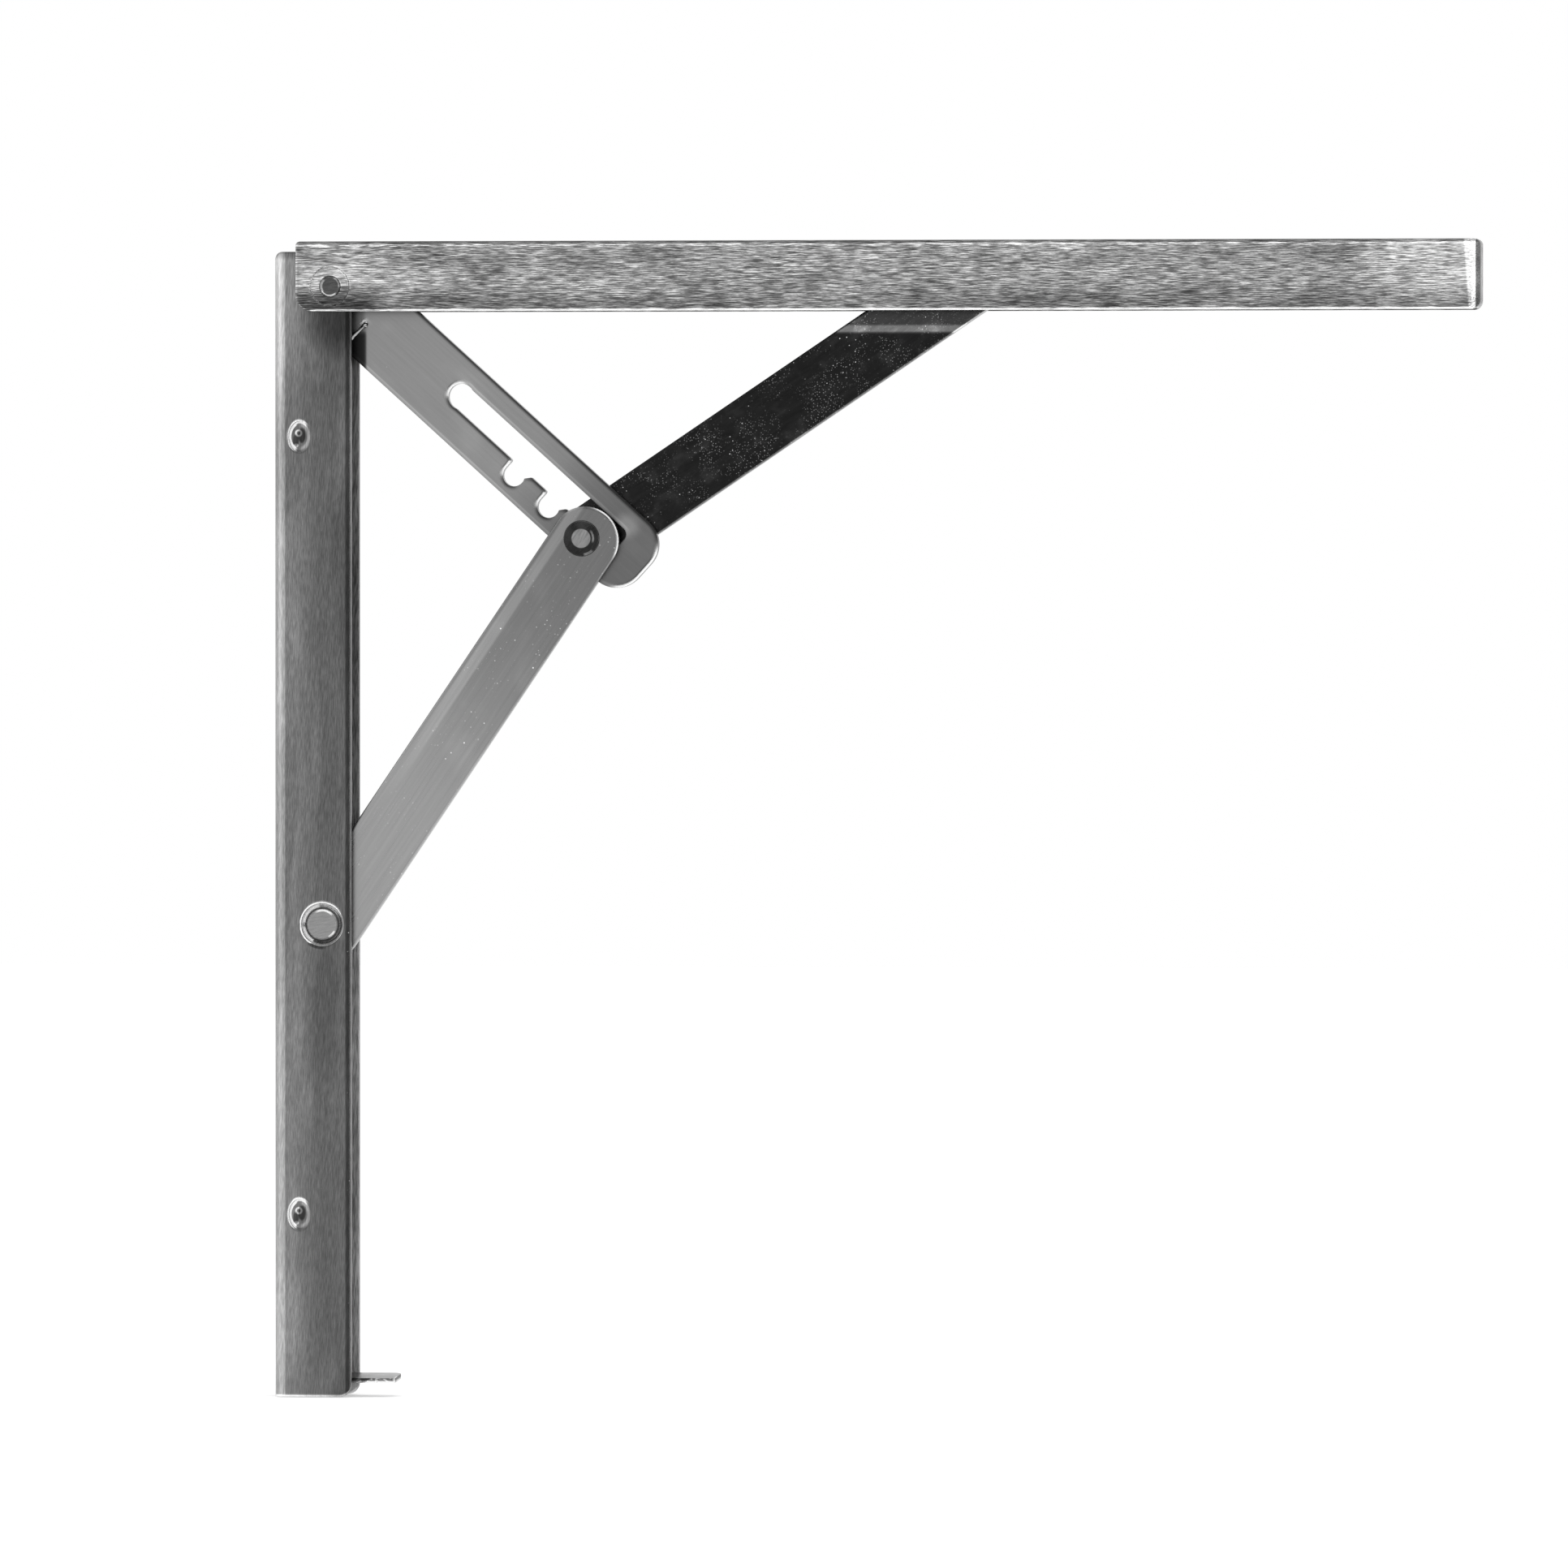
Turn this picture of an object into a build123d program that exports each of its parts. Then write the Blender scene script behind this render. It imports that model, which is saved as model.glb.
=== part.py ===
from build123d import *
import os
from math import acos, asin, atan2, cos, degrees, hypot, radians, sin, sqrt

# Folding shelf bracket, open and locked, in millimetres.
# The wall is the plane x = 0, +X points out of the wall, +Z up, and z = 0 is the height of the arm's pivot.
# Seen from -Y, the rail stands at the left, the arm runs to the right along the top, and two struts
# joined by a toggle hold it up. The slotted link from the arm's pivot catches the toggle in a notch.

# Sheet and bar
sheet = 1.2                 # folded sheet of the rail and the arm
bar = 2.5                   # thickness of the struts and the link
nest_gap = 0.3              # side clearance between the nested flanges
layer_gap = 0.3             # side clearance between the bars
seat_gap = 0.05             # clearance of a bar at its seat
turn_clearance = 0.05       # radial running clearance on a pivot
press_clearance = 0.02      # radial clearance of a rivet in the piece that holds it

# Wall rail
rail_width = 15.0
rail_depth = 19.8
rail_above = 8.8            # rail above the arm's pivot
rail_below = 281.2
rail_bend = 2.7             # outside bend radius
rail_top_back_round = 2.3
rail_top_front_round = 3.0
rail_bottom_round = 3.0

# Arm
arm_height = 17.7
arm_above = 11.4            # top of the arm above its pivot
arm_behind = 8.7            # arm behind its pivot
arm_ahead = 291.3
arm_bend = 1.5
arm_end_bend = 3.2          # upright bends of the closed end
arm_heel_round = 4.0
arm_toe_round = 2.4
arm_top_heel_round = 1.0

# Linkage
pivot_back = 14.5           # arm pivot from the wall
strut_setback = 2.2         # strut pivots, nearer the web than the arm's pivot
pivot_span = 161.5          # arm pivot to a strut pivot, along the rail or the arm
toggle_reach = 90.15        # arm pivot to the toggle, on the bisector of rail and arm
strut_width = 17.2
strut_offset = 1.0          # strut's centre line, outside its pivots
strut_edge = 0.6            # rolled edge on the strut's inner side

# Slotted link
link_width = 19.8
link_heel = 9.6             # behind the arm's pivot, and its corners
link_reach = 107.2
link_tip_round = 7.5
slot_width = 6.2
slot_side = 1.3             # slot's centre line, above the link's
slot_start = 42.9           # centre of the slot's round end
slot_end_radius = 3.3
slot_stop = 98.0
slot_corner = 2.0
notch_depth = 4.4           # notch centres, below the link's centre line
notch_pitch = 11.9
notch_count = 3
notch_clearance = 0.3
notch_mouth = 4.2           # how far a notch opens ahead of its centre
notch_flank = 2.2           # where a notch's slope leaves its floor, ahead of the notch's centre
notch_rise = 0.75           # and above it
tooth_round = 0.6

# Pins and rivets
pin_radius = 2.5
pin_head_radius = 2.75
pin_head_height = 0.55
pin_far_head_radius = 4.5
pin_far_head_height = 1.2
coin_radius = 5.15          # shallow recess round the pin's near head
coin_depth = 0.4
rivet_shank = 3.0
rivet_head_radius = 4.7
rivet_head_flat = 3.5
rivet_head_height = 1.4
rivet_tail_radius = 4.5
rivet_tail_height = 1.4
recess_radius = 5.45
recess_floor = 4.8
recess_wall = 0.85          # radial thickness of the pressed sheet round a recess
head_taper = 0.8            # top of a peened head, as a share of its seat
toggle_shank = 2.5
toggle_head_radius = 4.6
toggle_head_height = 1.1
bush_radius = 3.7

# Spring
wire = 1.0
wire_sides = 8              # flats that stand for the round wire
coil_clearance = 0.3
coil_pitch = 1.1
coil_turns = 2              # whole turns, besides the part turn between the legs
hook_reach = 12.5           # where the spring's end hooks into the link
hook_angle = -49.5
elbow_reach = 13.9          # bend of that leg, short of its hook
elbow_angle = -70.0
tail_angle = 180.0          # direction of the end by the rail's back
tail_gap = 0.7              # between that end and the web
hook_clearance = 0.15
hook_bite = 1.8             # depth of the hooked end in the link

# Screw holes
screw_hole = 2.6
wall_hole_first = 56.0      # below the arm's pivot
wall_hole_last = 33.2       # above the rail's foot
shelf_hole_first = 38.0     # ahead of the arm's pivot
shelf_hole_last = 19.3      # short of the arm's end
hole_count = 4

# Stop tab at the foot of the rail, and the pressed dents beside the rail's back
tab_rise = 5.1              # upper face above the rail's foot
tab_reach = 31.2            # from the wall
tab_width = 9.0
tab_skew = 0.7              # the tip's far corner ahead of its near one
tab_relief = 0.8
tab_round = 2.0
tab_tilt = 6.0              # far edge up, in degrees
tab_bend = 2.0
dent_back = 6.5
dent_long = 7.8
dent_wide = 5.5
dent_depth = 1.0
dent_below = 38.0           # upper dent below the arm's pivot
dent_above = 46.2           # lower dent above the rail's foot

# Places worked out from the sizes above
rail_near = -rail_width / 2
rail_far = rail_width / 2
arm_shift = -(sheet + nest_gap)
arm_near = rail_near + arm_shift
arm_far = rail_far + arm_shift
inside_near = rail_near + sheet
inside_far = arm_far - sheet
middle = (inside_near + inside_far) / 2
link_near = middle - bar / 2
link_far = middle + bar / 2
lower_far = link_near - layer_gap
lower_near = lower_far - bar
upper_near = link_far + layer_gap
upper_far = upper_near + bar
lower_pivot = (pivot_back - strut_setback, -pivot_span)
upper_pivot = (pivot_back + pivot_span, strut_setback)
toggle = (pivot_back + toggle_reach * cos(radians(45)), -toggle_reach * sin(radians(45)))
strut_length = hypot(toggle[0] - lower_pivot[0], toggle[1] - lower_pivot[1])
last_notch = sqrt(toggle_reach ** 2 - notch_depth ** 2)
link_turn = 45 - degrees(asin(notch_depth / toggle_reach))
coil_radius = bush_radius + coil_clearance + wire / 2


def spread(first, last, count):
    """Evenly spaced places from first to last."""
    return [first + (last - first) * index / (count - 1) for index in range(count)]


def rod(x, z, near, far, radius, far_radius=None):
    """A round bar or cone along Y, from near to far."""
    if far_radius is None:
        body = Cylinder(radius, far - near)
    else:
        body = Cone(far_radius, radius, far - near)
    return Pos(x, (near + far) / 2, z) * Rot(90, 0, 0) * body


def plate(sketch, near, far):
    """A sketch in XY stood up in XZ, between two depths."""
    return Pos(0, far, 0) * Rot(90, 0, 0) * extrude(sketch, far - near)


def channel(width, depth, length, bend):
    """Folded sheet channel along +Z: web at x = 0, flanges towards +X."""
    outer = Pos(depth / 2, 0) * Rectangle(depth, width)
    outer = fillet(outer.vertices().group_by(Axis.X)[0], bend)
    inner = Pos(sheet + depth / 2, 0) * Rectangle(depth, width - 2 * sheet)
    inner = fillet(inner.vertices().group_by(Axis.X)[0], bend - sheet)
    return extrude(outer - inner, length)


def closed_channel(length):
    """The arm's folded sheet: top at z = 0, open below and at x = 0, closed at its far end."""
    outer = Pos(length / 2, 0, -arm_height / 2) * Box(length, rail_width, arm_height)
    inner = Pos(length / 2 - sheet, 0, -arm_height / 2 - sheet) * Box(length, rail_width - 2 * sheet, arm_height)
    outer = bend_end(outer, arm_end_bend, arm_bend)
    return outer - bend_end(inner, arm_end_bend - sheet, arm_bend - sheet)


def bend_end(block, upright, along):
    """Round the upright edges of a block's far end, then the edges round its top."""
    block = fillet(block.edges().filter_by(Axis.Z).group_by(Axis.X)[-1], upright)
    top = block.faces().sort_by(Axis.Z)[-1].edges()
    heel = block.bounding_box().min.X
    return fillet([e for e in top if e.center().X > heel + along], along)


def side_outline(low, high, rounds):
    """Rectangle in the side view, its corners rounded: low left, low right, high right, high left."""
    across, up = high[0] - low[0], high[1] - low[1]
    sketch = Pos((low[0] + high[0]) / 2, (low[1] + high[1]) / 2) * Rectangle(across, up)
    corners = [(low[0], low[1]), (high[0], low[1]), (high[0], high[1]), (low[0], high[1])]
    for corner, radius in zip(corners, rounds):
        if radius:
            point = Vector(corner[0], corner[1], 0)
            nearest = min(sketch.vertices(), key=lambda v: (v.center() - point).length)
            sketch = fillet(nearest, radius)
    return sketch


def pressed_recess(solid, x, z, face, inward):
    """Press a round recess into a flange. inward is +1 where the sheet moves towards +Y, else -1."""
    depth = recess_depth()
    for step, grow in ((depth + sheet, recess_wall), (depth, 0)):
        end = face + inward * step
        near, far = min(face, end), max(face, end)
        mouth, floor = recess_radius + grow, recess_floor + grow
        tool = rod(x, z, near, far, mouth, floor) if inward > 0 else rod(x, z, near, far, floor, mouth)
        solid = solid + tool if grow else solid - tool
    return solid


def recess_depth():
    """Depth that brings the floor of a recess onto its strut."""
    return lower_near - inside_near - seat_gap


def dent(solid, height):
    """Oval dent pressed into the rail's near flange."""
    oval = Pos(dent_back, height) * Ellipse(dent_wide / 2, dent_long / 2)
    wide = Pos(dent_back, height) * Ellipse(dent_wide / 2 + sheet / 2, dent_long / 2 + sheet / 2)
    solid += plate(wide, rail_near, inside_near + dent_depth)
    return solid - plate(oval, rail_near, rail_near + dent_depth)


def stop_tab():
    """Tab bent forward from the foot of the rail's web, its blade a little tilted."""
    top = tab_rise - rail_below
    rise = top + tab_relief + tab_bend
    root = 2 * tab_bend
    side = make_face(Polyline((0, top - sheet), (root, top - sheet), (root, top), (sheet, top),
                              (sheet, rise), (0, rise), close=True))
    outside = side.vertices().sort_by(lambda v: v.X + v.Y)[0]
    side = fillet(outside, tab_bend)
    inside = side.vertices().sort_by(lambda v: hypot(v.X - sheet, v.Y - top))[0]
    side = fillet(inside, tab_bend - sheet)
    half = tab_width / 2
    flat = make_face(Polyline((tab_bend, -half), (tab_reach - tab_skew, -half), (tab_reach, half),
                              (tab_bend, half), close=True))
    tip = flat.vertices().group_by(Axis.Y)[-1].sort_by(Axis.X)[-1]
    blade = Pos(0, 0, -sheet) * extrude(fillet(tip, tab_round), sheet)
    return plate(side, -half, half) + Pos(0, 0, top) * Rot(tab_tilt, 0, 0) * blade


def wall_rail():
    rail = Pos(0, 0, -rail_below) * channel(rail_width, rail_depth, rail_below + rail_above, rail_bend)
    outline = side_outline((0, -rail_below), (rail_depth, rail_above),
                           (0, rail_bottom_round, rail_top_front_round, rail_top_back_round))
    rail &= plate(outline, rail_near, rail_far)
    relief_top = tab_rise + tab_relief + tab_bend - rail_below
    relief = Box(2 * tab_bend, tab_width + 2 * tab_relief, rail_below + relief_top)
    rail = rail - Pos(0, 0, (relief_top - rail_below) / 2) * relief + stop_tab()
    rail = pressed_recess(rail, lower_pivot[0], lower_pivot[1], rail_near, 1)
    rail = dent(rail, -dent_below)
    rail = dent(rail, dent_above - rail_below)
    rail -= rod(pivot_back, 0, rail_near, rail_far, pin_radius + press_clearance)
    rail -= rod(lower_pivot[0], lower_pivot[1], rail_near, middle, rivet_shank + press_clearance)
    for height in spread(-wall_hole_first, wall_hole_last - rail_below, hole_count):
        rail -= Pos(0, 0, height) * Rot(0, 90, 0) * Cylinder(screw_hole, 4 * sheet)
    return rail


def support_arm():
    length = arm_behind + arm_ahead
    heel = pivot_back - arm_behind
    arm = Pos(heel, arm_shift, arm_above) * closed_channel(length)
    outline = side_outline((heel, arm_above - arm_height), (heel + length, arm_above),
                           (arm_heel_round, arm_toe_round, 0, arm_top_heel_round))
    arm &= plate(outline, arm_near, arm_far)
    arm = pressed_recess(arm, upper_pivot[0], upper_pivot[1], arm_far, -1)
    arm -= rod(pivot_back, 0, arm_near, arm_near + coin_depth, coin_radius, coin_radius - coin_depth)
    arm -= rod(pivot_back, 0, arm_near, arm_far, pin_radius + turn_clearance)
    arm -= rod(upper_pivot[0], upper_pivot[1], middle, arm_far, rivet_shank + press_clearance)
    for ahead in spread(shelf_hole_first, arm_ahead - shelf_hole_last, hole_count):
        arm -= Pos(pivot_back + ahead, arm_shift, arm_above) * Cylinder(screw_hole, 4 * sheet)
    return arm


def strut(near, far, start_hole, end_hole):
    """Flat strut along +X from one pivot to the other, its inner side upwards."""
    radius = strut_width / 2
    sketch = Pos(strut_length / 2, -strut_offset) * Rectangle(strut_length, strut_width)
    for end in (0, strut_length):
        sketch += Pos(end, -strut_offset) * Circle(radius)
    sketch -= Circle(start_hole)
    sketch -= Pos(strut_length, 0) * Circle(end_hole)
    section = Rectangle(strut_width, bar)
    section = fillet(section.vertices().group_by(Axis.X)[0], strut_edge)
    length = strut_length + 2 * strut_width
    strip = Pos(-strut_width, (near + far) / 2, -strut_offset) * Rot(0, 90, 0) * extrude(section, length)
    return plate(sketch, near, far) & strip


def lower_strut():
    rise = degrees(atan2(toggle[1] - lower_pivot[1], toggle[0] - lower_pivot[0]))
    body = strut(lower_near, lower_far, rivet_shank + turn_clearance, toggle_shank + press_clearance)
    return Pos(lower_pivot[0], 0, lower_pivot[1]) * Rot(0, -rise, 0) * body


def upper_strut():
    rise = degrees(atan2(upper_pivot[1] - toggle[1], upper_pivot[0] - toggle[0]))
    body = strut(upper_near, upper_far, toggle_shank + press_clearance, rivet_shank + turn_clearance)
    return Pos(toggle[0], 0, toggle[1]) * Rot(0, -rise, 0) * body


def notch_sketch(along):
    """One hooked notch: round floor, upright wall behind, sloped wall ahead."""
    radius = toggle_shank + notch_clearance
    lane = slot_side - slot_width / 2
    floor = Pos(along, -notch_depth) * Circle(radius)
    throat = Polyline((along - radius, -notch_depth), (along - radius, lane + tooth_round),
                      (along + notch_mouth, lane + tooth_round), (along + notch_flank, notch_rise - notch_depth),
                      close=True)
    return floor + make_face(throat)


def slot_sketch():
    """The slot: a straight lane with the notches along its lower side."""
    lane_length = slot_stop - slot_start
    lane = Pos(slot_start + lane_length / 2, slot_side) * Rectangle(lane_length, slot_width)
    lane = fillet(lane.vertices().group_by(Axis.X)[-1], slot_corner)
    opening = lane + Pos(slot_start, slot_side) * Circle(slot_end_radius)
    for index in range(notch_count):
        opening += notch_sketch(last_notch - index * notch_pitch)
    low = slot_side - slot_width / 2
    teeth = [v for v in opening.vertices() if abs(v.Y - low) < 0.01]
    teeth = [v for v in teeth if slot_start + slot_width < v.X < last_notch + notch_mouth]
    return fillet(teeth, tooth_round)


def slotted_link():
    half = link_width / 2
    sketch = side_outline((-link_heel, -half), (link_reach, half),
                          (link_heel, link_tip_round, link_tip_round, link_heel))
    sketch = sketch - slot_sketch() - Circle(pin_radius + turn_clearance)
    hook = radians(hook_angle + link_turn)
    sketch -= Pos(hook_reach * cos(hook), hook_reach * sin(hook)) * Circle(wire / 2 + hook_clearance)
    return Pos(pivot_back, 0, 0) * Rot(0, link_turn, 0) * plate(sketch, link_near, link_far)


def arm_pivot_pin():
    near_seat = arm_near + coin_depth - seat_gap
    pin = rod(pivot_back, 0, near_seat, rail_far, pin_radius)
    pin += rod(pivot_back, 0, near_seat - pin_head_height, near_seat, pin_head_radius * head_taper, pin_head_radius)
    head = rod(pivot_back, 0, rail_far, rail_far + pin_far_head_height, pin_far_head_radius,
               pin_far_head_radius * head_taper)
    return pin + head


def pivot_bush(near, far):
    """Spacer on the arm's pivot pin."""
    tube = rod(pivot_back, 0, near + seat_gap, far - seat_gap, bush_radius)
    return tube - rod(pivot_back, 0, near, far, pin_radius + press_clearance)


def strut_rivet(x, z, face, strut_face, inward):
    """Rivet sunk in its recess: head outside, shank through the strut, round tail inside."""
    floor = face + inward * recess_depth()
    head_top = floor - inward * rivet_head_height
    tail_end = strut_face + inward * rivet_tail_height
    if inward > 0:
        head = rod(x, z, head_top, floor, rivet_head_flat, rivet_head_radius)
        tail = rod(x, z, strut_face, tail_end, rivet_tail_radius, rivet_tail_radius * head_taper)
    else:
        head = rod(x, z, floor, head_top, rivet_head_radius, rivet_head_flat)
        tail = rod(x, z, tail_end, strut_face, rivet_tail_radius * head_taper, rivet_tail_radius)
    return head + rod(x, z, min(floor, strut_face), max(floor, strut_face), rivet_shank) + tail


def toggle_rivet_front():
    """Near half of the toggle rivet, in the lower strut."""
    shank = rod(toggle[0], toggle[1], lower_near, lower_far + layer_gap / 2, toggle_shank)
    return shank + rod(toggle[0], toggle[1], lower_near - toggle_head_height, lower_near,
                       toggle_shank, toggle_head_radius)


def toggle_rivet_back():
    """Far half of the toggle rivet, in the upper strut."""
    shank = rod(toggle[0], toggle[1], upper_near - layer_gap / 2, upper_far, toggle_shank)
    return shank + rod(toggle[0], toggle[1], upper_far, upper_far + toggle_head_height,
                       toggle_head_radius, toggle_shank)


def straight_wire(start, end):
    """Wire between two places, a little longer at both so that it fills its bends."""
    run = Vector(*end) - Vector(*start)
    extra = wire / 4
    outset = Vector(*start) - run.normalized() * extra
    section = Plane(origin=outset, z_dir=run) * RegularPolygon(wire / 2, wire_sides)
    return extrude(section, run.length + 2 * extra)


def polar(reach, angle, height=0):
    return (reach * cos(radians(angle)), reach * sin(radians(angle)), height)


def link_spring():
    """Torsion spring that lifts the link, so that the notch holds the toggle."""
    tail_reach = pivot_back - sheet - wire / 2 - tail_gap
    start = elbow_angle - degrees(acos(coil_radius / elbow_reach))
    end = tail_angle + degrees(acos(coil_radius / tail_reach))
    turns = coil_turns + (start - end) % 360 / 360
    top = coil_pitch * turns
    spiral = Helix(coil_pitch, top, coil_radius, lefthand=True)
    section = Plane(origin=spiral @ 0, z_dir=spiral % 0) * RegularPolygon(wire / 2, wire_sides)
    spring = Rot(0, 0, start) * sweep(section, path=spiral)
    elbow, hook = polar(elbow_reach, elbow_angle), polar(hook_reach, hook_angle)
    spring += straight_wire(polar(coil_radius, start), elbow) + straight_wire(elbow, hook)
    spring += straight_wire(hook, (hook[0], hook[1], -(wire / 2 + seat_gap + hook_bite)))
    spring += straight_wire(polar(coil_radius, end, top), polar(tail_reach, tail_angle, top))
    return Pos(pivot_back, link_near - wire / 2 - seat_gap, 0) * Rot(90, 0, 0) * spring


def main():
    pieces = {
        "wall_rail": wall_rail(),
        "support_arm": support_arm(),
        "lower_strut": lower_strut(),
        "upper_strut": upper_strut(),
        "slotted_link": slotted_link(),
        "arm_pivot_pin": arm_pivot_pin(),
        "near_pivot_bush": pivot_bush(inside_near, link_near),
        "far_pivot_bush": pivot_bush(link_far, inside_far),
        "lower_strut_rivet": strut_rivet(*lower_pivot, rail_near, lower_far, 1),
        "upper_strut_rivet": strut_rivet(*upper_pivot, arm_far, upper_near, -1),
        "toggle_rivet_front": toggle_rivet_front(),
        "toggle_rivet_back": toggle_rivet_back(),
        "link_spring": link_spring(),
    }
    os.makedirs("parts", exist_ok=True)
    for name, solid in pieces.items():
        solid.label = name
        export_step(solid, f"parts/{name}.step")


main()
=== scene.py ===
import math

import bpy
from mathutils import Matrix, Vector


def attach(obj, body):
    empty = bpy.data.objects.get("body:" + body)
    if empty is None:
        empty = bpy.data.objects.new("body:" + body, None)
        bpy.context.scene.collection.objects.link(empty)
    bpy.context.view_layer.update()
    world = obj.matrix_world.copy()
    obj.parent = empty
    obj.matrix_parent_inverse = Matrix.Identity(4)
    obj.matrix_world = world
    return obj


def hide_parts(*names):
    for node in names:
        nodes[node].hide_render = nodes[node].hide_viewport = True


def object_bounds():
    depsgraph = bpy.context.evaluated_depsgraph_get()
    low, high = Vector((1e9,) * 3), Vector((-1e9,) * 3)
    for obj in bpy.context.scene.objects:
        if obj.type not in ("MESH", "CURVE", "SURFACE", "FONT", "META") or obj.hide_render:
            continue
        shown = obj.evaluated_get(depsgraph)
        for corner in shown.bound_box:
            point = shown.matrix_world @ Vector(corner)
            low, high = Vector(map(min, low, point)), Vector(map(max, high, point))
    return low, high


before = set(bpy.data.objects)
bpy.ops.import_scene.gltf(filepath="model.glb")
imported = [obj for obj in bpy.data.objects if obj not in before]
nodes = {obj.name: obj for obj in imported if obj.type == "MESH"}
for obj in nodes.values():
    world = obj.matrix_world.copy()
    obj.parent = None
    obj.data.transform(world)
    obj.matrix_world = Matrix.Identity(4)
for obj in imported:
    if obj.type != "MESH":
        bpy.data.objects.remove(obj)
cadLow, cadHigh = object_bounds()
mm = 0.001
print("the packed bracket is loaded")

# places in millimetres, as x and z in the side view
armPivot = (14.5, 0.0)
lowerPivot = (12.3, -161.5)
togglePivot = (78.25, -63.75)
dents = ((6.5, -38.0), (6.5, -235.0))

# directions: the wall is on the left, and the viewer stands at the near side
up, down = (0, 0, 1), (0, 0, -1)
left, right = (-1, 0, 0), (1, 0, 0)
near, far = (0, -1, 0), (0, 1, 0)
lowerRight, lowerLeft, upperRight = (0.707, 0, -0.707), (-0.707, 0, -0.707), (0.707, 0, 0.707)
lowerStrutDown, lowerStrutUp = (-0.559, 0.0, -0.829), (0.559, 0.0, 0.829)
lowerStrutRight, lowerStrutLeft = (0.829, 0.0, -0.559), (-0.829, 0.0, 0.559)
upperStrutUnder = (0.559, 0.0, -0.829)
linkOutwards = (0.741, 0.0, -0.672)
footCorner = (0.66, 0, -0.75)
closedEnd = (1, 0, 0.075)

photoCamera = {
    "place": (0.54853, -3.5, -0.07656),  # metres
    "turn": -0.11923,       # radians, to the right
    "lift": -0.01397,       # radians, upwards
    "roll": 0.00026,
    "focalPixels": 17186.6,
    "photoSide": 1932,      # pixels
    "sensor": 36.0,         # millimetres
    "clip": (0.05, 50.0),   # metres
}


def setCamera(c):
    turn, lift, roll = c["turn"], c["lift"], c["roll"]
    look = Vector((math.sin(turn) * math.cos(lift), math.cos(turn) * math.cos(lift),
                   math.sin(lift)))
    sideways = look.cross(Vector((0, 0, 1))).normalized()
    upwards = sideways.cross(look)
    sideways, upwards = (sideways * math.cos(roll) + upwards * math.sin(roll),
                         upwards * math.cos(roll) - sideways * math.sin(roll))
    place = Matrix((sideways, upwards, -look)).transposed().to_4x4()
    place.translation = c["place"]
    data = bpy.data.cameras.new("photoCamera")
    data.sensor_width = c["sensor"]
    data.lens = c["focalPixels"] / c["photoSide"] * c["sensor"]
    data.clip_start, data.clip_end = c["clip"]
    camera = bpy.data.objects.new("photoCamera", data)
    camera.matrix_world = place
    bpy.context.scene.collection.objects.link(camera)
    bpy.context.scene.camera = camera


def addNode(tree, kind, **values):
    node = tree.nodes.new(kind)
    for name, value in values.items():
        setattr(node, name, value)
    return node


# a link from another node, or a plain value
def feed(tree, value, socket):
    if isinstance(value, bpy.types.NodeSocket):
        tree.links.new(value, socket)
    else:
        socket.default_value = value


def maths(tree, operation, first, second=0.0, third=0.0):
    node = addNode(tree, "ShaderNodeMath", operation=operation)
    for value, socket in zip((first, second, third), node.inputs):
        feed(tree, value, socket)
    return node.outputs[0]


def vectorMaths(tree, operation, first, second=(0, 0, 0), output="Vector"):
    node = addNode(tree, "ShaderNodeVectorMath", operation=operation)
    feed(tree, first, node.inputs[0])
    feed(tree, second, node.inputs[1])
    return node.outputs[output]


def ramp(tree, value, start, end, low=0.0, high=1.0):
    node = addNode(tree, "ShaderNodeMapRange", interpolation_type="SMOOTHSTEP")
    for number, socket in zip((value, start, end, low, high), node.inputs):
        feed(tree, number, socket)
    return node.outputs[0]


# 1 where the ray comes from the lens, a mirror or glass
def seenRays(tree):
    rays = addNode(tree, "ShaderNodeLightPath").outputs
    seen = maths(tree, "MAXIMUM", rays["Is Camera Ray"], rays["Is Glossy Ray"])
    return maths(tree, "MAXIMUM", seen, rays["Is Transmission Ray"])


room = {
    "skyLight": 0.72,       # light from all round, where 1 is white
    "floorTone": 0.86,
    "floorLift": 0.42,      # glow that the lens sees on the floor
    "floorRough": 0.9,
    "floorSide": 8.0,       # metres
    "floorGap": 0.2,        # millimetres under the foot
}


def setRoom(r):
    world = bpy.data.worlds.new("whiteRoom")
    bpy.context.scene.world = world
    world.use_nodes = True
    tree = world.node_tree
    back = tree.nodes["Background"]
    back.inputs["Color"].default_value = (1, 1, 1, 1)
    feed(tree, ramp(tree, seenRays(tree), 0.0, 1.0, r["skyLight"], 1.0), back.inputs["Strength"])

    half = r["floorSide"] / 2
    level = cadLow.z - r["floorGap"] * mm
    mesh = bpy.data.meshes.new("paleFloor")
    mesh.from_pydata([(-half, -half, level), (half, -half, level), (half, half, level),
                      (-half, half, level)], [], [(0, 1, 2, 3)])
    floor = bpy.data.objects.new("paleFloor", mesh)
    bpy.context.scene.collection.objects.link(floor)
    paint = bpy.data.materials.new("paleFloorPaint")
    paint.use_nodes = True
    tree = paint.node_tree
    shader = tree.nodes["Principled BSDF"]
    shader.inputs["Base Color"].default_value = (r["floorTone"],) * 3 + (1,)
    shader.inputs["Roughness"].default_value = r["floorRough"]
    shader.inputs["Specular IOR Level"].default_value = 0.0
    shader.inputs["Emission Color"].default_value = (1, 1, 1, 1)
    feed(tree, maths(tree, "MULTIPLY", seenRays(tree), r["floorLift"]),
         shader.inputs["Emission Strength"])
    mesh.materials.append(paint)


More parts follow.
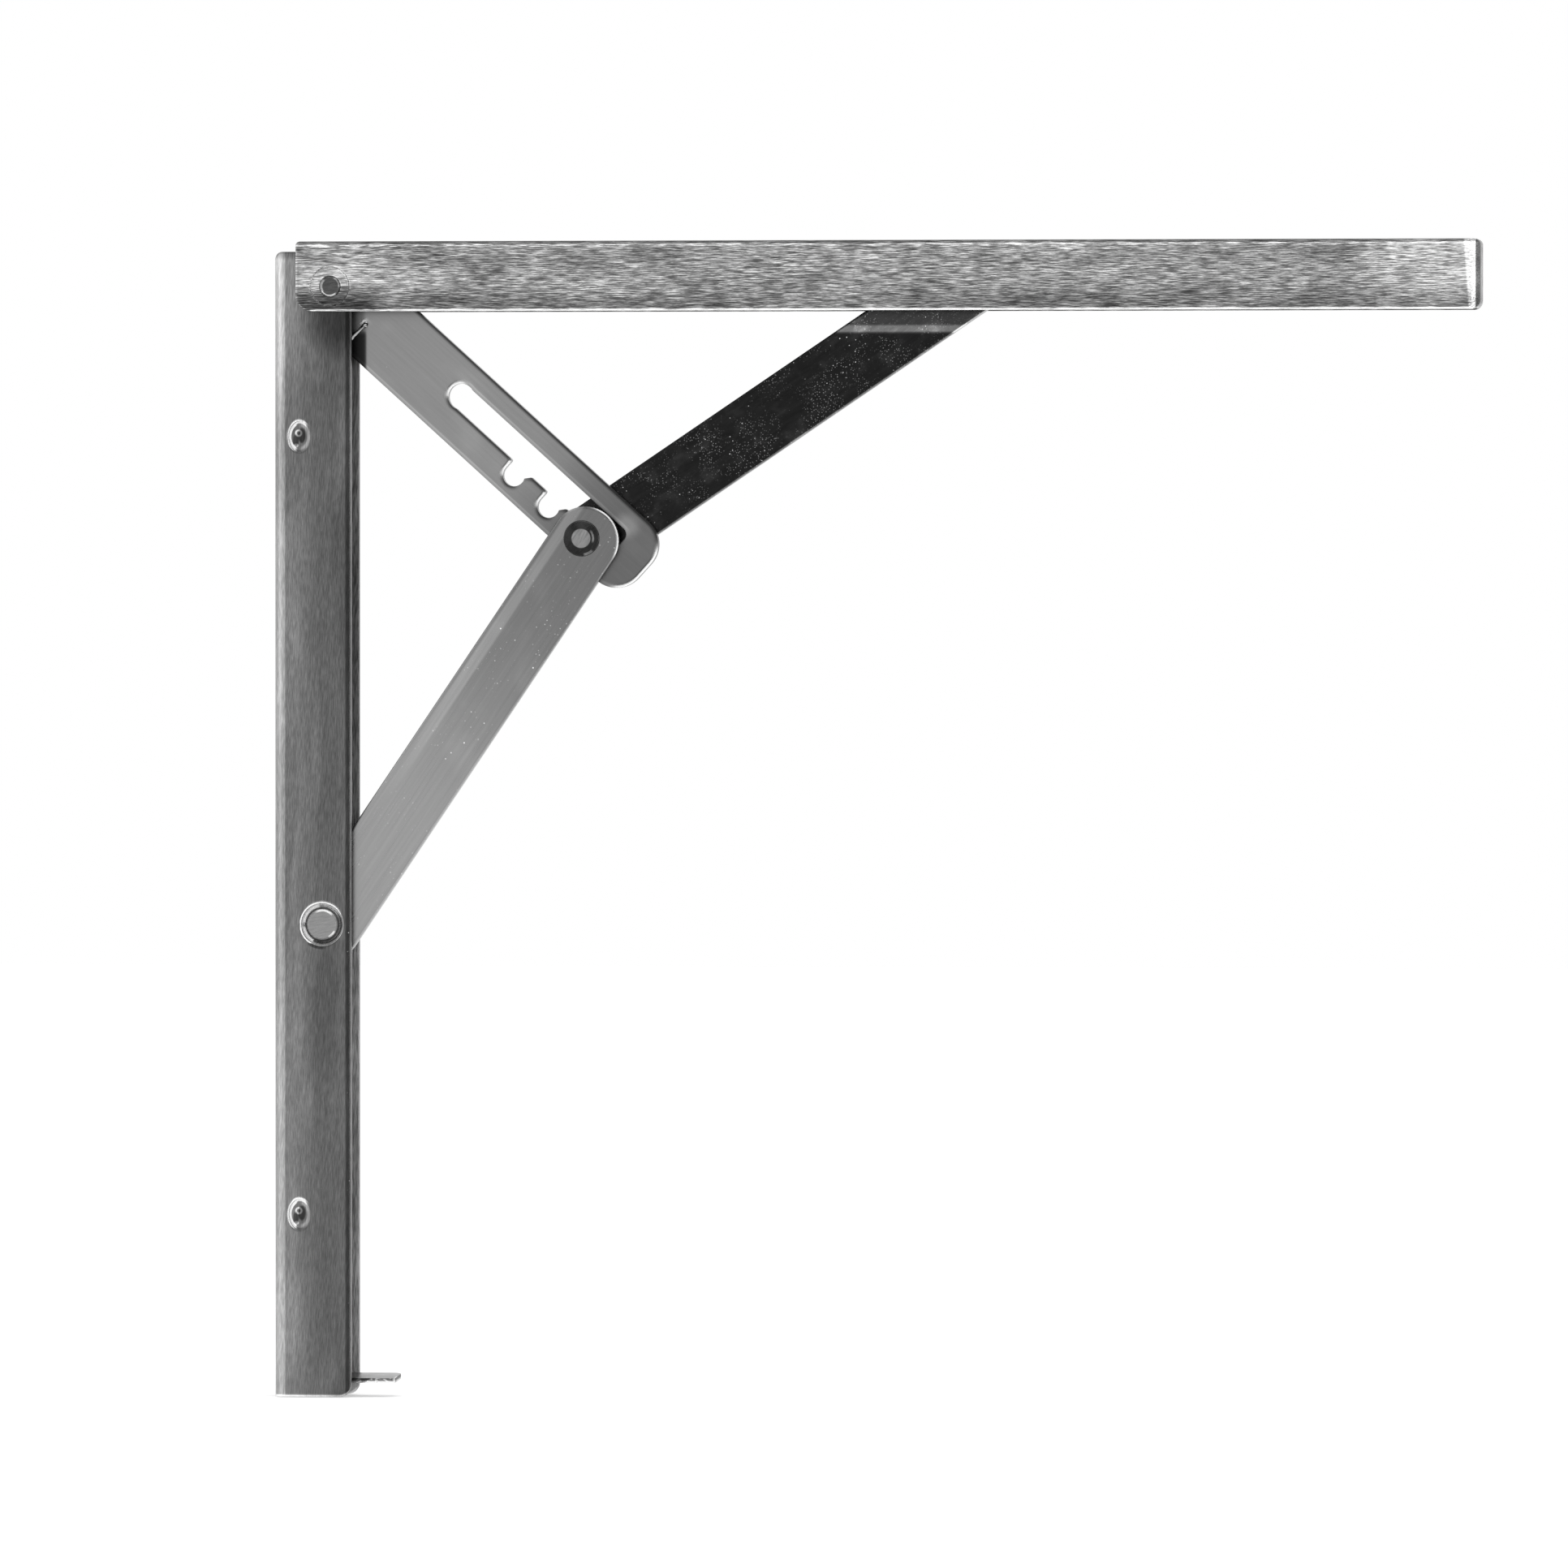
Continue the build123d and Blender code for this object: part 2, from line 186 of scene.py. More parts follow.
# place, aim and size in metres, power in watts
lamps = {
    "leftStrip": {"place": (-1.25, -0.75, 0.15), "aim": (0.1, 0.0, -0.1),
                  "size": (0.9, 1.4), "power": 3.5},
    "rightStrip": {"place": (1.6, -0.7, -0.35), "aim": (0.15, 0.0, -0.1),
                   "size": (0.9, 1.4), "power": 6.0},
    "topPanel": {"place": (0.15, -0.55, 1.3), "aim": (0.15, 0.0, -0.05),
                 "size": (1.4, 0.8), "power": 6.0},
}


def setLamps():
    for name, lamp in lamps.items():
        data = bpy.data.lights.new(name, "AREA")
        data.shape = "RECTANGLE"
        data.size, data.size_y = lamp["size"]
        data.energy = lamp["power"]
        stand = bpy.data.objects.new(name, data)
        stand.location = lamp["place"]
        towards = Vector(lamp["aim"]) - Vector(lamp["place"])
        stand.rotation_euler = towards.to_track_quat("-Z", "Y").to_euler()
        bpy.context.scene.collection.objects.link(stand)


bpy.context.scene.view_settings.view_transform = "Standard"
setCamera(photoCamera)
setRoom(room)
setLamps()
print("camera, room and lamps are set")


# effects that the steels share: grain, specks, and cut rims along which edge highlights and
# shade are painted
def newGroup(name, inputs, outputs):
    tree = bpy.data.node_groups.new(name, "ShaderNodeTree")
    for label, kind, value in inputs:
        socket = tree.interface.new_socket(name=label, in_out="INPUT", socket_type=kind)
        if value is not None:
            socket.default_value = value
    for label, kind in outputs:
        tree.interface.new_socket(name=label, in_out="OUTPUT", socket_type=kind)
    return tree, addNode(tree, "NodeGroupInput").outputs, addNode(tree, "NodeGroupOutput").inputs


grainNoise = {"Scale": 1.0, "Detail": 3.0, "Roughness": 0.6}
grainContrast = 5.0


# fine streaks from the rolling mill, from -1, dark, to 1, light
def rolledGrain():
    tree, given, result = newGroup("rolledGrain", [
        ("Place", "NodeSocketVector", None), ("Lean", "NodeSocketFloat", 0.0),
        ("Streak Length", "NodeSocketFloat", 0.006), ("Streak Width", "NodeSocketFloat", 0.0004),
        ("Crispness", "NodeSocketFloat", 1.0)], [("Streaks", "NodeSocketFloat")])
    turned = addNode(tree, "ShaderNodeVectorRotate", rotation_type="Y_AXIS")
    feed(tree, given["Place"], turned.inputs["Vector"])
    feed(tree, given["Lean"], turned.inputs["Angle"])
    scale = addNode(tree, "ShaderNodeCombineXYZ")
    for label, socket in zip(("Streak Length", "Streak Width", "Streak Width"), scale.inputs):
        feed(tree, maths(tree, "DIVIDE", 1.0, given[label]), socket)
    noise = addNode(tree, "ShaderNodeTexNoise")
    feed(tree, vectorMaths(tree, "MULTIPLY", turned.outputs[0], scale.outputs[0]),
         noise.inputs["Vector"])
    for label, value in grainNoise.items():
        noise.inputs[label].default_value = value
    centred = maths(tree, "SUBTRACT", noise.outputs[0], 0.5)
    contrast = maths(tree, "MULTIPLY", given["Crispness"], grainContrast)
    crisp = maths(tree, "MULTIPLY", centred, contrast)
    feed(tree, maths(tree, "MAXIMUM", maths(tree, "MINIMUM", crisp, 1.0), -1.0), result[0])
    return tree


speckLook = {
    "smallest": 0.3,        # added to a speck's random size from 0 to 1
    "dotEdge": (1.0, 0.5),  # of its radius
    "clumpEdge": (0.42, 0.62),
}


# small bright flecks of the plating, thicker in some places than in others
def brightSpecks():
    tree, given, result = newGroup("brightSpecks", [
        ("Place", "NodeSocketVector", None), ("Spacing", "NodeSocketFloat", 0.0012),
        ("Share", "NodeSocketFloat", 0.3), ("Size", "NodeSocketFloat", 0.25),
        ("Clump", "NodeSocketFloat", 0.012)], [("Specks", "NodeSocketFloat")])
    cells = addNode(tree, "ShaderNodeTexVoronoi")
    feed(tree, given["Place"], cells.inputs["Vector"])
    feed(tree, maths(tree, "DIVIDE", 1.0, given["Spacing"]), cells.inputs["Scale"])
    parts = addNode(tree, "ShaderNodeSeparateColor")
    feed(tree, cells.outputs["Color"], parts.inputs[0])
    kept = maths(tree, "LESS_THAN", parts.outputs[0], given["Share"])
    radius = maths(tree, "MULTIPLY", given["Size"],
                   maths(tree, "ADD", parts.outputs[1], speckLook["smallest"]))
    dot = ramp(tree, maths(tree, "DIVIDE", cells.outputs["Distance"], radius),
               *speckLook["dotEdge"])
    drift = addNode(tree, "ShaderNodeTexNoise")
    feed(tree, given["Place"], drift.inputs["Vector"])
    feed(tree, maths(tree, "DIVIDE", 1.0, given["Clump"]), drift.inputs["Scale"])
    thick = ramp(tree, drift.outputs[0], *speckLook["clumpEdge"])
    feed(tree, maths(tree, "MULTIPLY", maths(tree, "MULTIPLY", dot, kept), thick), result[0])
    return tree


# a direction as the piece itself has it, so that its painted light and shade turn with it
def ownSpace(tree, way):
    turned = addNode(tree, "ShaderNodeVectorTransform", vector_type="NORMAL",
                     convert_from="WORLD", convert_to="OBJECT")
    feed(tree, way, turned.inputs[0])
    return turned.outputs[0]


rimLook = {
    "samples": 8, "normalSamples": 4,
    "rimEdge": (0.999, 0.98),   # cosines between the face and the rounded face
    "lipEdge": (0.97, 0.92),
}


# the sheet's sharp edges: a broad rim and its outermost lip, where the steels paint edge
# highlights and shade, the way they look, and the normal rounded off there
def cutRim():
    tree, given, result = newGroup("cutRim", [
        ("Width", "NodeSocketFloat", 0.001), ("Radius", "NodeSocketFloat", 0.0004)], [
        ("Rim", "NodeSocketFloat"), ("Lip", "NodeSocketFloat"), ("Way", "NodeSocketVector"),
        ("Normal", "NodeSocketVector")])
    bevel = addNode(tree, "ShaderNodeBevel", samples=rimLook["samples"])
    feed(tree, given["Width"], bevel.inputs["Radius"])
    soft = addNode(tree, "ShaderNodeBevel", samples=rimLook["normalSamples"])
    feed(tree, given["Radius"], soft.inputs["Radius"])
    face = addNode(tree, "ShaderNodeNewGeometry").outputs["True Normal"]
    same = vectorMaths(tree, "DOT_PRODUCT", bevel.outputs[0], face, "Value")
    feed(tree, ramp(tree, same, *rimLook["rimEdge"]), result[0])
    feed(tree, ramp(tree, same, *rimLook["lipEdge"]), result[1])
    flat = addNode(tree, "ShaderNodeVectorMath", operation="SCALE")
    feed(tree, face, flat.inputs[0])
    feed(tree, same, flat.inputs["Scale"])
    sideways = vectorMaths(tree, "SUBTRACT", bevel.outputs[0], flat.outputs[0])
    feed(tree, vectorMaths(tree, "NORMALIZE", ownSpace(tree, sideways)), result[2])
    feed(tree, soft.outputs[0], result[3])
    return tree


groups = {"grain": rolledGrain(), "specks": brightSpecks(), "rim": cutRim()}


def useGroup(tree, name, **values):
    node = addNode(tree, "ShaderNodeGroup", node_tree=groups[name])
    for label, value in values.items():
        feed(tree, value, node.inputs[label.replace("_", " ")])
    return node.outputs


# Masks say where a painted light, shade or change of tone lies on a piece: 1 there and 0
# elsewhere, with lengths in millimetres. One that takes none and full is 0 at the first and 1 at
# the second.
def past(way, none, full):
    # by the distance along a direction
    def mask(tree, place, facing):
        distance = vectorMaths(tree, "DOT_PRODUCT", place, way, "Value")
        return ramp(tree, distance, none * mm, full * mm)
    return mask


def fromCentre(tree, place, centre, squash=1):
    middle = (centre[0] * mm, 0, centre[1] * mm)
    return vectorMaths(tree, "MULTIPLY", vectorMaths(tree, "SUBTRACT", place, middle),
                       (1, 0, squash))


def circle(centre, none, full, squash=1):
    # by the distance from a centre; a squash under 1 makes it a tall oval
    def mask(tree, place, facing):
        flat = fromCentre(tree, place, centre, squash)
        distance = vectorMaths(tree, "LENGTH", flat, output="Value")
        return ramp(tree, distance, none * mm, full * mm)
    return mask


def ring(centre, inner, outer, soft):
    def mask(tree, place, facing):
        distance = vectorMaths(tree, "LENGTH", fromCentre(tree, place, centre),
                               output="Value")
        return maths(tree, "MULTIPLY",
                     ramp(tree, distance, (inner - soft) * mm, inner * mm),
                     ramp(tree, distance, (outer + soft) * mm, outer * mm))
    return mask


def sector(centre, degrees, none, full):
    # round an angle from a centre, by the cosine of the angle off it
    angle = math.radians(degrees)

    def mask(tree, place, facing):
        outwards = vectorMaths(tree, "NORMALIZE", fromCentre(tree, place, centre))
        return ramp(tree, vectorMaths(tree, "DOT_PRODUCT", outwards,
                                      (math.cos(angle), 0, math.sin(angle)), "Value"),
                    none, full)
    return mask


def looking(way, none=0.5, full=0.9):
    # on the faces that look a certain way, by the cosine
    def mask(tree, place, facing):
        return ramp(tree, vectorMaths(tree, "DOT_PRODUCT", facing, way, "Value"), none, full)
    return mask


def flangeFaces(middle, way):
    # on the outer or inner faces of a channel's flanges, whose middle is at this depth
    def mask(tree, place, facing):
        away = vectorMaths(tree, "SUBTRACT", place, (0, middle * mm, 0))
        away = vectorMaths(tree, "MULTIPLY", away, facing)
        return ramp(tree, vectorMaths(tree, "DOT_PRODUCT", away, way, "Value"),
                    1.0 * mm, 3.0 * mm)
    return mask


def patches(sizes, none, full):
    # in soft clouds of these sizes along x, y and z, by the noise's level
    def mask(tree, place, facing):
        cloud = addNode(tree, "ShaderNodeTexNoise")
        feed(tree, vectorMaths(tree, "DIVIDE", place, tuple(size * mm for size in sizes)),
             cloud.inputs["Vector"])
        cloud.inputs["Scale"].default_value = 1.0
        return ramp(tree, cloud.outputs[0], none, full)
    return mask


def allMasks(tree, place, facing, masks, result=1.0):
    for mask in masks:
        result = maths(tree, "MULTIPLY", mask(tree, place, facing), result)
    return result


nearHalf = past(near, 1.0, 2.0)
outside, inside = flangeFaces(0, far), flangeFaces(0, near)
armOutside, armInside = flangeFaces(-1.5, far), flangeFaces(-1.5, near)

# what a steel has where its own dictionary says nothing else
plainSteel = {
    "rimWidth": 1.0,            # millimetres of the rim where edge highlights and shade are painted
    "rimRadius": 0.35,          # millimetres of the rounding that the light sees
    "rimSpread": (0.4, 0.85),   # cosines off a rim's direction
    "bump": 0.15,
    "bumpDepth": 0.05,          # millimetres
    "grainRise": 0.5,           # how much of it one grain takes
    "brightest": 0.95,
    "paintedRimLight": [], "paintedLightAndTone": [], "specks": [],
}


# tone is the plain grey, and painted rim light, grain, and the painted light, shade and tone
# changes add or take stops of light
def platedSteel(name, own):
    s = {**plainSteel, **own}
    material = bpy.data.materials.new(name)
    material.use_nodes = True
    tree = material.node_tree
    shader = tree.nodes["Principled BSDF"]
    place = addNode(tree, "ShaderNodeTexCoord").outputs["Object"]
    facing = ownSpace(tree, addNode(tree, "ShaderNodeNewGeometry").outputs["Normal"])
    rim = useGroup(tree, "rim", Width=s["rimWidth"] * mm, Radius=s["rimRadius"] * mm)
    stops, height = 0.0, 0.5
    # painted highlights and shade along the cut rims, by the way each rim faces
    for strength, part, way, *masks in s["paintedRimLight"]:
        turned = vectorMaths(tree, "DOT_PRODUCT", rim["Way"], way, "Value")
        lit = maths(tree, "MULTIPLY", ramp(tree, turned, *s["rimSpread"]), rim[part])
        stops = maths(tree, "MULTIPLY_ADD", allMasks(tree, place, facing, masks, lit),
                      strength, stops)
    for grain in s["grain"]:
        streaks = useGroup(tree, "grain", Place=place, Lean=math.radians(grain["lean"]),
                           Streak_Length=grain["length"] * mm,
                           Streak_Width=grain["width"] * mm,
                           Crispness=grain["crisp"])["Streaks"]
        stops = maths(tree, "MULTIPLY_ADD", streaks, grain["stops"], stops)
        height = maths(tree, "MULTIPLY_ADD", streaks, s["grainRise"], height)
    # painted light and shade, and changes of tone
    for strength, *masks in s["paintedLightAndTone"]:
        stops = maths(tree, "MULTIPLY_ADD", allMasks(tree, place, facing, masks),
                      strength, stops)
    tone = maths(tree, "MULTIPLY", maths(tree, "POWER", 2.0, stops), s["tone"])
    for speck in s["specks"]:
        mask = useGroup(tree, "specks", Place=place, Spacing=speck["spacing"] * mm,
                        Share=speck["share"], Size=speck["size"],
                        Clump=speck["clump"] * mm)["Specks"]
        mask = allMasks(tree, place, facing, speck.get("on", ()), mask)
        tone = maths(tree, "MULTIPLY_ADD", mask, speck["bright"], tone)
    feed(tree, maths(tree, "MINIMUM", tone, s["brightest"]), shader.inputs["Base Color"])
    shader.inputs["Metallic"].default_value = 1.0
    feed(tree, ramp(tree, height, 0.0, 1.0, *s["rough"]), shader.inputs["Roughness"])
    bump = addNode(tree, "ShaderNodeBump")
    bump.inputs["Strength"].default_value = s["bump"]
    bump.inputs["Distance"].default_value = s["bumpDepth"] * mm
    feed(tree, height, bump.inputs["Height"])
    feed(tree, rim["Normal"], bump.inputs["Normal"])
    feed(tree, bump.outputs[0], shader.inputs["Normal"])
    return material


def dressPieces(name, settings, *pieces):
    steel = platedSteel(name, settings)
    for piece in pieces:
        mesh = nodes[piece].data
        mesh.materials.clear()
        mesh.materials.append(steel)
    print(name, "is on", *pieces)


# painted highlights and shade on a shiny pressed oval: white at the left, a soft crescent at the
# right, dark in it
def dentGlintsAndShade(centre):
    x, z = centre
    face = (nearHalf, outside)  # only the near flange is pressed
    return [
        (4.2, circle(centre, 2.9, 2.65, 0.72), circle(centre, 2.05, 2.3, 0.72),
         sector(centre, 180, 0.1, 0.5), *face),
        (1.3, circle(centre, 3.1, 2.5, 0.72), circle(centre, 1.6, 2.1, 0.72),
         sector(centre, 0, -0.2, 0.4), *face),
        (-2.0, circle((x + 0.5, z + 0.3), 1.1, 0.7, 0.5), *face),
        (-1.6, circle((x - 1.0, z - 0.9), 0.9, 0.5, 0.5), *face),
        (2.2, ring((x - 0.3, z + 0.9), 0.6, 0.8, 0.3), *face),
        (1.8, circle((x - 0.9, z - 2.2), 0.8, 0.4, 1.2), *face),
    ]


# painted highlights on the lip and wall of the recess round the lower rivet, with painted shade
# at its lower side
def recessGlintsAndShade(centre):
    lip = ring(centre, 4.6, 5.6, 0.2)
    return [
        (2.4, ring(centre, 5.0, 5.45, 0.15), nearHalf),
        (4.2, lip, sector(centre, 137, 0.75, 0.87), nearHalf),
        (4.2, lip, sector(centre, 214, 0.87, 0.95), nearHalf),
        (1.3, ring(centre, 4.9, 5.5, 0.3), sector(centre, 60, 0.75, 0.95), nearHalf),
        (-1.2, ring(centre, 5.6, 6.1, 0.3), sector(centre, 255, 0.9, 0.98), nearHalf),
    ]


tab = (past(right, 20.3, 21.0), past(down, 270, 272))
wallRailSteel = {
    "tone": 0.115, "rough": (0.3, 0.42), "rimWidth": 1.1,
    # painted highlights and shade along the cut edges
    "paintedRimLight": [(3.3, "Lip", right, nearHalf), (-0.9, "Rim", right, nearHalf),
             (2.4, "Rim", down), (-0.6, "Rim", up)],
    "grain": [dict(lean=88, length=3.0, width=0.22, crisp=2.0, stops=0.32),
              dict(lean=86, length=12.0, width=0.8, crisp=1.0, stops=0.16)],
    "paintedLightAndTone": [
        (0.95, past(left, -3.1, -2.7), past(near, 4.6, 5.4)),  # painted highlight on the bends at the wall
        (0.95, past(left, -3.1, -2.7), past(far, 4.6, 5.4)),
        (0.7, past(left, -13.0, -4.0), outside),  # lighter towards the wall
        (0.4, past(up, -40.0, -10.0), past(left, -14.0, -6.0), outside),
        (-0.7, past(up, 6.5, 8.0), outside),  # painted shade at the top end
        (-1.6, past(right, 18.0, 18.7), outside),  # painted shade along the open edge
        (-1.3, circle((17.0, -8.0), 12.0, 3.0), nearHalf, outside),  # painted shadow under the arm
        # painted light on the inner faces of the flanges
        (2.0, inside),
        (-0.8, inside, past(up, -165.0, -150.0)),  # darker above the lower rivet
        (0.4, patches((8, 8, 60), 0.5, 0.7)),
        (-0.3, patches((10, 10, 45), 0.5, 0.35)),
        *recessGlintsAndShade(lowerPivot),
        *dentGlintsAndShade(dents[0]), *dentGlintsAndShade(dents[1]),
        # the tab: painted light on its top, and painted glints in places on its sawn near edge
        (1.6, looking(up), *tab),
        (0.4, looking(near), *tab),
        (1.7, looking(near), *tab, patches((0.9, 2, 0.4), 0.53, 0.6)),
        (2.3, past(footCorner, 223.2, 223.5), outside),  # the glint on the foot's corner
    ],
    "specks": [dict(spacing=2.6, share=0.5, size=0.16, clump=30, bright=0.7,
                    on=(past(right, 18.6, 19.0), outside)),
               dict(spacing=1.1, share=0.12, size=0.15, clump=20, bright=0.18,
                    on=(outside,))],
}
dressPieces("wallRailSteel", wallRailSteel, "wall_rail")

supportArmSteel = {
    "tone": 0.25, "rough": (0.3, 0.42), "bump": 0.3, "rimWidth": 1.1,
    # painted highlights and shade along the cut edges
    "paintedRimLight": [(1.6, "Lip", lowerLeft, nearHalf), (-0.3, "Lip", left, nearHalf)],
    "grain": [dict(lean=0, length=5.0, width=0.2, crisp=3.8, stops=0.95),
              dict(lean=0, length=2.4, width=0.14, crisp=3.4, stops=0.6),
              dict(lean=0, length=9.0, width=0.6, crisp=1.6, stops=0.3)],
    "paintedLightAndTone": [
        (-1.4, past(up, 10.5, 10.7), past(near, 7.0, 7.3)),  # painted shade on the bend along the top
        # a painted light line just under that bend
        (0.6, past(up, 9.8, 10.1), past(down, -10.6, -10.4), armOutside),
        # the lit lower edge, and the face darker towards it
        (2.4, past(down, 5.65, 5.85), past(near, 8.5, 8.8), past(right, 9.0, 10.0)),
        (-0.7, past(down, -1.0, 4.5), armOutside),
        # dark under the pin and light above it
        (-1.6, circle((17.0, -7.5), 15.0, 5.0, 1.8), nearHalf, armOutside),
        (0.4, circle((13.0, 5.0), 15.0, 6.0, 1.4), nearHalf, armOutside),
        (-0.3, past(left, -11.0, -6.5), armOutside),
        # painted light on the inner faces of the flanges
        (0.2, armInside),
        (-0.9, past(far, 4.0, 4.4), past(down, 4.6, 5.2)),  # painted shade on the far flange's lower edge
        (0.4, patches((24, 24, 8), 0.5, 0.66)),
        (-0.55, patches((14, 14, 5), 0.5, 0.34)),
        (0.7, past(right, 270, 296), armOutside),  # lighter towards the closed end
        # the painted highlight on the turn into the closed end, and the painted dark line beyond
        # it
        (1.6, past(closedEnd, 302.3, 303.0), past(left, -304.8, -304.6), past(near, 6.0, 7.0)),
        (-1.6, past(right, 304.6, 304.8), past(near, 5.0, 6.0)),
        # the lit part of the pressed ring round the pin
        (0.7, ring(armPivot, 4.9, 5.2, 0.15), sector(armPivot, -45, 0.8, 0.95)),
    ],
}
dressPieces("supportArmSteel", supportArmSteel, "support_arm")

slottedLinkSteel = {
    "tone": 0.26, "rough": (0.28, 0.34), "rimWidth": 2.0,
    # painted highlights and shade along the cut edges
    "paintedRimLight": [(4.0, "Lip", lowerRight), (-1.0, "Rim", lowerRight),
             (-0.6, "Rim", upperRight), (-1.6, "Lip", upperRight),
             (0.6, "Rim", lowerLeft), (-0.3, "Lip", lowerLeft)],
    "grain": [dict(lean=-42, length=20.0, width=1.0, crisp=1.0, stops=0.08)],
    "paintedLightAndTone": [
        (-0.9, past(linkOutwards, 72.0, 104.0)),  # darker towards the tip
        # in the shade of the rail
        (-3.0, past(left, -23.2, -22.2), past(down, 10.5, 12.5)),
        (-1.0, past(left, -23.0, -21.5)),
        (0.15, patches((14, 14, 14), 0.5, 0.7)),
        (0.7, circle((89.5, -60.5), 4.5, 1.0)),  # a light patch by the slot's end
    ],
    "specks": [dict(spacing=4.0, share=0.05, size=0.06, clump=25, bright=0.3)],
}
dressPieces("slottedLinkSteel", slottedLinkSteel, "slotted_link")

strutTip = circle(togglePivot, 13.0, 10.0)
lowerStrutSteel = {
    "tone": 0.16, "rough": (0.26, 0.34), "rimWidth": 1.3,
    # painted highlights and shade along the cut edges
    "paintedRimLight": [(0.6, "Lip", lowerStrutRight), (-0.25, "Rim", lowerStrutRight),
             (3.4, "Lip", (0.9, 0, 0.43), strutTip),
             (-1.0, "Rim", (0.7, 0, 0.7), strutTip),
             (0.5, "Lip", lowerStrutLeft)],
    "grain": [dict(lean=56, length=30.0, width=0.8, crisp=1.0, stops=0.1)],
    "paintedLightAndTone": [
        (0.95, past(lowerStrutDown, 4.0, 95.0)),  # lighter towards the rail
        # the painted light band along the rolled edge
        (0.6, past(lowerStrutLeft, -97.0, -96.2), past(lowerStrutRight, 93.5, 94.3),
         past(lowerStrutUp, -100.0, -40.0)),
        (0.15, patches((14, 14, 14), 0.5, 0.7)),
    ],
    "specks": [dict(spacing=0.7, share=0.5, size=0.26, clump=10, bright=0.32),
               dict(spacing=1.6, share=0.4, size=0.12, clump=14, bright=0.6)],
}
dressPieces("lowerStrutSteel", lowerStrutSteel, "lower_strut")

upperStrutSteel = {
    "tone": 0.016, "rough": (0.2, 0.28), "rimWidth": 1.2,
    # painted highlight along the cut edge
    "paintedRimLight": [(3.6, "Lip", upperStrutUnder)],
    "grain": [dict(lean=34, length=6.0, width=1.2, crisp=1.0, stops=0.3)],
    "paintedLightAndTone": [
        (0.8, patches((5, 5, 5), 0.5, 0.72)),
        (1.5, patches((0.7, 0.7, 0.7), 0.58, 0.75), patches((6, 6, 6), 0.45, 0.6)),
        # the arm's light edge mirrored in the strut, just under the arm
        (1.6, past(up, -10.6, -9.9)),
        (3.5, past(up, -12.3, -11.3), past(down, 9.5, 10.6)),
    ],
    "specks": [dict(spacing=0.5, share=0.7, size=0.34, clump=9, bright=0.2),
               dict(spacing=0.8, share=0.45, size=0.17, clump=10, bright=0.8)],
}
dressPieces("upperStrutSteel", upperStrutSteel, "upper_strut")

lowerRivetSteel = {
    "tone": 0.26, "rough": (0.24, 0.34),
    "grain": [dict(lean=15, length=3.0, width=0.5, crisp=1.0, stops=0.2)],
    "paintedLightAndTone": [
        (-1.7, ring(lowerPivot, 3.95, 4.3, 0.12)),  # painted shade round the head, and a painted light ring just outside it
        (1.4, ring(lowerPivot, 4.45, 4.8, 0.1)),
        # glints on the head's rim
        (1.5, ring(lowerPivot, 3.35, 3.75, 0.15), sector(lowerPivot, 80, 0.72, 0.9)),
        (1.6, ring(lowerPivot, 3.4, 3.75, 0.15), sector(lowerPivot, -45, 0.93, 0.98)),
    ],
    "specks": [dict(spacing=1.6, share=0.15, size=0.12, clump=5, bright=0.5)],
}
dressPieces("lowerRivetSteel", lowerRivetSteel, "lower_strut_rivet")

toggleRivetSteel = {
    "tone": 0.23, "rough": (0.24, 0.34),
    "grain": [dict(lean=60, length=3.0, width=0.4, crisp=1.0, stops=0.35)],
    "paintedLightAndTone": [
        # painted dark reflection on the ring round the middle
        (-3.4, circle(togglePivot, 2.3, 2.6), circle(togglePivot, 4.5, 4.2)),
        (-0.7, circle(togglePivot, 4.2, 4.4)),
        # glints in the dark ring
        (2.8, ring(togglePivot, 2.9, 3.2, 0.2), sector(togglePivot, 10, 0.8, 0.95)),
        (2.6, ring(togglePivot, 3.9, 4.3, 0.2), sector(togglePivot, -65, 0.93, 0.98)),
    ],
}
dressPieces("toggleRivetSteel", toggleRivetSteel, "toggle_rivet_front", "toggle_rivet_back")

armPinSteel = {
    "tone": 0.085, "rough": (0.24, 0.34),
    "grain": [dict(lean=10, length=2.0, width=0.3, crisp=1.0, stops=0.4)],
    "paintedLightAndTone": [
        # painted highlights: bright arcs round the pin's rim
        (2.0, ring(armPivot, 1.9, 2.6, 0.15), sector(armPivot, 175, 0.6, 0.8)),
        (3.0, ring(armPivot, 2.2, 2.55, 0.12), sector(armPivot, 262, 0.5, 0.8)),
        (1.6, ring(armPivot, 2.25, 2.5, 0.12), sector(armPivot, 30, 0.75, 0.9)),
    ],
}
dressPieces("armPinSteel", armPinSteel, "arm_pivot_pin")

bushSteel = {
    "tone": 0.16, "rough": (0.3, 0.4),
    "grain": [dict(lean=15, length=3.0, width=0.5, crisp=1.0, stops=0.25)],
    "paintedLightAndTone": [(0.3, patches((2, 2, 2), 0.5, 0.7))],
}
dressPieces("bushSteel", bushSteel, "near_pivot_bush", "far_pivot_bush", "upper_strut_rivet")

springSteel = {
    "tone": 0.4, "rough": (0.2, 0.3),
    "grain": [dict(lean=20, length=2.0, width=0.3, crisp=1.0, stops=0.3)],
    "paintedLightAndTone": [(-0.5, patches((3, 3, 3), 0.5, 0.3))],
}
# reaches and angles are from the coil's middle, in millimetres and degrees
springWire = {
    "wire": 1.0,
    "meanRadius": 4.5,
    "pitch": 1.1,
    "wholeTurns": 2,
    "elbowReach": 13.9, "elbowAngle": -70.0,
    "hookReach": 12.5, "hookAngle": -49.5, "hookDepth": 2.45,
    "tailReach": 12.1, "tailAngle": 180.0,
    "firstTurnDepth": -2.65,    # y of the first turn's middle
    "coilSteps": 40, "wireSides": 14, "bendRings": 8,
}


